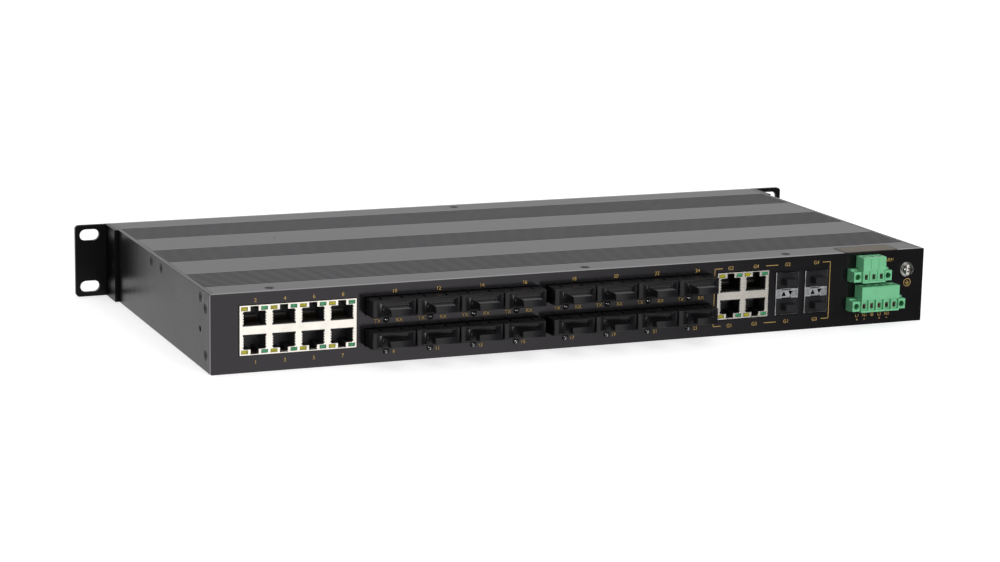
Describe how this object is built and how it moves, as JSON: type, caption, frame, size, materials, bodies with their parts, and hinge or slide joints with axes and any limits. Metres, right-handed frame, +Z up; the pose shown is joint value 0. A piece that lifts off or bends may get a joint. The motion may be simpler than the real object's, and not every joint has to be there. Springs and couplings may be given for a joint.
{
  "type": "rackmount network switch",
  "caption": "Low, wide rack-mount network switch with capped fibre ports, copper sockets, plug-in terminal blocks, a grooved top and slotted rack ears.",
  "frame": {"origin": "middle of the footprint on the underside of the case", "axes": "+X to the right along the port face, -Y out of the port face, +Y out of the indicator face between the rack ears, +Z up"},
  "size_m": [0.4826, 0.241, 0.0442],
  "materials": {
    "black_extrusion": "black anodised extrusion, fine satin",
    "black_steel": "matt black powder coat",
    "black_plate": "satin black powder coat",
    "black_panel": "matt black panel with gold print",
    "black_screw": "black oxide screws",
    "plain_aluminium": "plain milled aluminium",
    "circuit_board": "green solder mask on glass laminate",
    "plain_brass": "nickel-free turned brass",
    "bright_steel": "bright zinc and nickel plate",
    "nickel_shield": "nickel-plated sheet",
    "socket_plastic": "black moulded nylon",
    "gold_contact": "gold-plated spring wire",
    "yellow_lens": "tinted light guide",
    "green_lens": "tinted light guide",
    "cage_steel": "plain sheet cage",
    "transceiver_plastic": "black moulded housing",
    "white_ceramic": "white ceramic sleeve",
    "clear_lens": "clear domed lamp",
    "green_plastic": "green moulded nylon",
    "tinned_pin": "tinned square pin",
    "clamp_steel": "zinc-plated clamp screw",
    "chip_package": "black moulded package",
    "converter_case": "black potted case",
    "indicator_lens": "milky light guide",
    "label_film": "dull grey-gold film",
    "cap_plastic": "black soft plastic dust cap",
    "sfp_plug_rubber": "black rubber dust plug"
  },
  "bodies": {
    "case": {"blank_label": "label_film", "board_screws": "bright_steel", "board_standoffs": "plain_brass", "bottom_cover": "black_steel", "case_screws": "black_screw", "corner_blocks": "plain_aluminium", "fibre_ferrules": "white_ceramic", "fibre_lamps": "clear_lens", "fibre_transceivers_lower": "transceiver_plastic", "fibre_transceivers_upper": "transceiver_plastic", "ground_screw": "bright_steel", "ground_washers": "bright_steel", "header_pins": "tinned_pin", "heat_block": "plain_aluminium", "indicator_board": "circuit_board", "indicator_lamps": "indicator_lens", "indicator_panel": "black_panel", "left_rack_ear": "black_steel", "left_side_plate": "black_plate", "main_board": "circuit_board", "port_panel": "black_panel", "power_converters": "converter_case", "rack_ear_screws": "black_screw", "right_rack_ear": "black_steel", "right_side_plate": "black_plate", "riser_board": "circuit_board", "rj45_contacts": "gold_contact", "rj45_green_lamps": "green_lens", "rj45_inserts_4": "socket_plastic", "rj45_inserts_8": "socket_plastic", "rj45_shields": "nickel_shield", "rj45_yellow_lamps": "yellow_lens", "sfp_cages": "cage_steel", "switch_chip": "chip_package", "terminal_headers": "green_plastic", "top_cover": "black_extrusion"},
    "fibre_cap_09": {"fibre_cap_09": "cap_plastic"},
    "fibre_cap_10": {"fibre_cap_10": "cap_plastic"},
    "fibre_cap_11": {"fibre_cap_11": "cap_plastic"},
    "fibre_cap_12": {"fibre_cap_12": "cap_plastic"},
    "fibre_cap_13": {"fibre_cap_13": "cap_plastic"},
    "fibre_cap_14": {"fibre_cap_14": "cap_plastic"},
    "fibre_cap_15": {"fibre_cap_15": "cap_plastic"},
    "fibre_cap_16": {"fibre_cap_16": "cap_plastic"},
    "fibre_cap_17": {"fibre_cap_17": "cap_plastic"},
    "fibre_cap_18": {"fibre_cap_18": "cap_plastic"},
    "fibre_cap_19": {"fibre_cap_19": "cap_plastic"},
    "fibre_cap_20": {"fibre_cap_20": "cap_plastic"},
    "fibre_cap_21": {"fibre_cap_21": "cap_plastic"},
    "fibre_cap_22": {"fibre_cap_22": "cap_plastic"},
    "fibre_cap_23": {"fibre_cap_23": "cap_plastic"},
    "fibre_cap_24": {"fibre_cap_24": "cap_plastic"},
    "sfp_plug_g1": {"sfp_plug_g1": "sfp_plug_rubber"},
    "sfp_plug_g2": {"sfp_plug_g2": "sfp_plug_rubber"},
    "sfp_plug_g3": {"sfp_plug_g3": "sfp_plug_rubber"},
    "sfp_plug_g4": {"sfp_plug_g4": "sfp_plug_rubber"},
    "alarm_plug": {"alarm_plug": "green_plastic", "alarm_plug_screws": "clamp_steel"},
    "power_plug": {"power_plug": "green_plastic", "power_plug_screws": "clamp_steel"}
  },
  "joints": [
    {"name": "fibre_cap_09_pull", "type": "slide", "parent": "case", "child": "fibre_cap_09", "axis": [0, -1, 0], "range_m": [0, 0.025]},
    {"name": "fibre_cap_10_pull", "type": "slide", "parent": "case", "child": "fibre_cap_10", "axis": [0, -1, 0], "range_m": [0, 0.025]},
    {"name": "fibre_cap_11_pull", "type": "slide", "parent": "case", "child": "fibre_cap_11", "axis": [0, -1, 0], "range_m": [0, 0.025]},
    {"name": "fibre_cap_12_pull", "type": "slide", "parent": "case", "child": "fibre_cap_12", "axis": [0, -1, 0], "range_m": [0, 0.025]},
    {"name": "fibre_cap_13_pull", "type": "slide", "parent": "case", "child": "fibre_cap_13", "axis": [0, -1, 0], "range_m": [0, 0.025]},
    {"name": "fibre_cap_14_pull", "type": "slide", "parent": "case", "child": "fibre_cap_14", "axis": [0, -1, 0], "range_m": [0, 0.025]},
    {"name": "fibre_cap_15_pull", "type": "slide", "parent": "case", "child": "fibre_cap_15", "axis": [0, -1, 0], "range_m": [0, 0.025]},
    {"name": "fibre_cap_16_pull", "type": "slide", "parent": "case", "child": "fibre_cap_16", "axis": [0, -1, 0], "range_m": [0, 0.025]},
    {"name": "fibre_cap_17_pull", "type": "slide", "parent": "case", "child": "fibre_cap_17", "axis": [0, -1, 0], "range_m": [0, 0.025]},
    {"name": "fibre_cap_18_pull", "type": "slide", "parent": "case", "child": "fibre_cap_18", "axis": [0, -1, 0], "range_m": [0, 0.025]},
    {"name": "fibre_cap_19_pull", "type": "slide", "parent": "case", "child": "fibre_cap_19", "axis": [0, -1, 0], "range_m": [0, 0.025]},
    {"name": "fibre_cap_20_pull", "type": "slide", "parent": "case", "child": "fibre_cap_20", "axis": [0, -1, 0], "range_m": [0, 0.025]},
    {"name": "fibre_cap_21_pull", "type": "slide", "parent": "case", "child": "fibre_cap_21", "axis": [0, -1, 0], "range_m": [0, 0.025]},
    {"name": "fibre_cap_22_pull", "type": "slide", "parent": "case", "child": "fibre_cap_22", "axis": [0, -1, 0], "range_m": [0, 0.025]},
    {"name": "fibre_cap_23_pull", "type": "slide", "parent": "case", "child": "fibre_cap_23", "axis": [0, -1, 0], "range_m": [0, 0.025]},
    {"name": "fibre_cap_24_pull", "type": "slide", "parent": "case", "child": "fibre_cap_24", "axis": [0, -1, 0], "range_m": [0, 0.025]},
    {"name": "sfp_plug_g1_pull", "type": "slide", "parent": "case", "child": "sfp_plug_g1", "axis": [0, -1, 0], "range_m": [0, 0.03]},
    {"name": "sfp_plug_g2_pull", "type": "slide", "parent": "case", "child": "sfp_plug_g2", "axis": [0, -1, 0], "range_m": [0, 0.03]},
    {"name": "sfp_plug_g3_pull", "type": "slide", "parent": "case", "child": "sfp_plug_g3", "axis": [0, -1, 0], "range_m": [0, 0.03]},
    {"name": "sfp_plug_g4_pull", "type": "slide", "parent": "case", "child": "sfp_plug_g4", "axis": [0, -1, 0], "range_m": [0, 0.03]},
    {"name": "alarm_plug_pull", "type": "slide", "parent": "case", "child": "alarm_plug", "axis": [0, -1, 0], "range_m": [0, 0.025]},
    {"name": "power_plug_pull", "type": "slide", "parent": "case", "child": "power_plug", "axis": [0, -1, 0], "range_m": [0, 0.025]}
  ]
}
